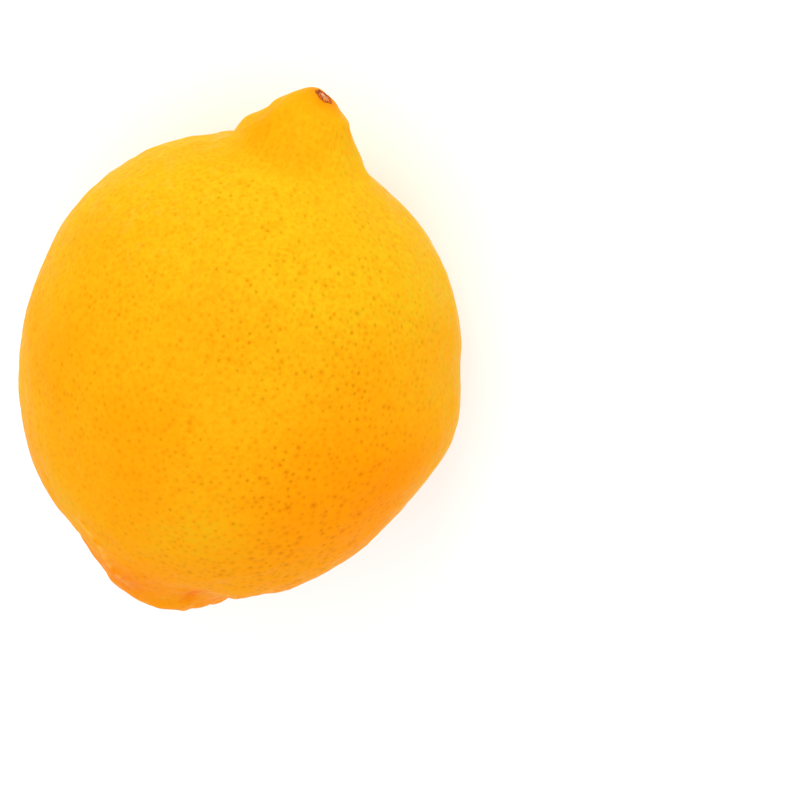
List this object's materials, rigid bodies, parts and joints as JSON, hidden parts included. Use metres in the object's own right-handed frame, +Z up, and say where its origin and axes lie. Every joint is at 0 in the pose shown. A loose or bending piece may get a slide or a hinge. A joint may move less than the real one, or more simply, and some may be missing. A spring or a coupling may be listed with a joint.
{
  "type": "lemon",
  "caption": "Whole ripe lemon lying on its side, with a pointed nipple at one end and a woody stem button at the other.",
  "frame": {"origin": "under the middle of the object's box, on the surface that the lemon lies on", "axes": "+X along the fruit's long axis towards the nipple, +Z up, +Y across the fruit"},
  "size_m": [0.0824, 0.066, 0.0645],
  "materials": {
    "peel": "ripe yellow peel, waxy, pitted with oil glands",
    "stalk": "dry olive-brown stalk, rough"
  },
  "bodies": {
    "root": {"fruit": "peel", "stem_button": "stalk"}
  },
  "joints": []
}
